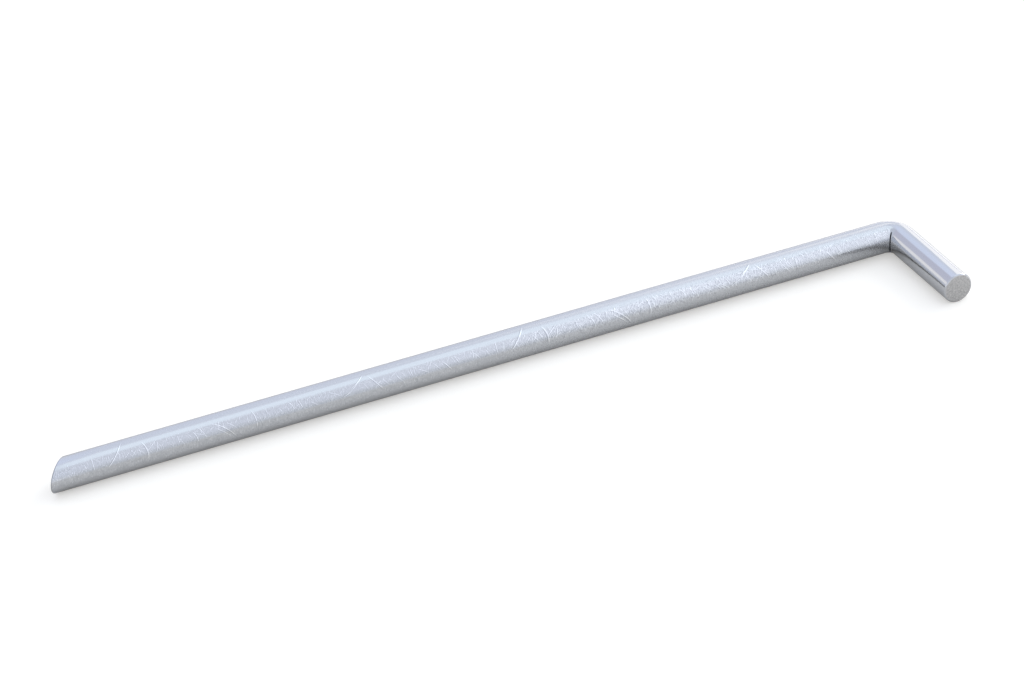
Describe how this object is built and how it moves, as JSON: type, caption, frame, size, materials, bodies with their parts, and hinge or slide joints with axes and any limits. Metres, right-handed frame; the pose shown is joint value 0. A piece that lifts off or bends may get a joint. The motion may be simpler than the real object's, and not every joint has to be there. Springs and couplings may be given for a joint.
{
  "type": "ground anchor",
  "caption": "Solid round steel ground anchor: a long straight leg with a slant-cut point, bent sharply into a short leg that is struck and holds down a foot or rail.",
  "frame": {"origin": "on the floor under the middle of the bounding box of the anchor, which lies on its side as it comes to rest", "axes": "+X along the long leg towards its point, +Y along the short leg towards its struck end, +Z square to the plane of the bend, up"},
  "size_m": [0.48, 0.068, 0.016],
  "materials": {
    "bar_steel": "bright bar, finely scratched along the long leg, smooth and shiny at the bend and on the short leg, dull grey saw cut at its end"
  },
  "bodies": {
    "root": {"anchor_rod": "bar_steel"}
  },
  "joints": []
}
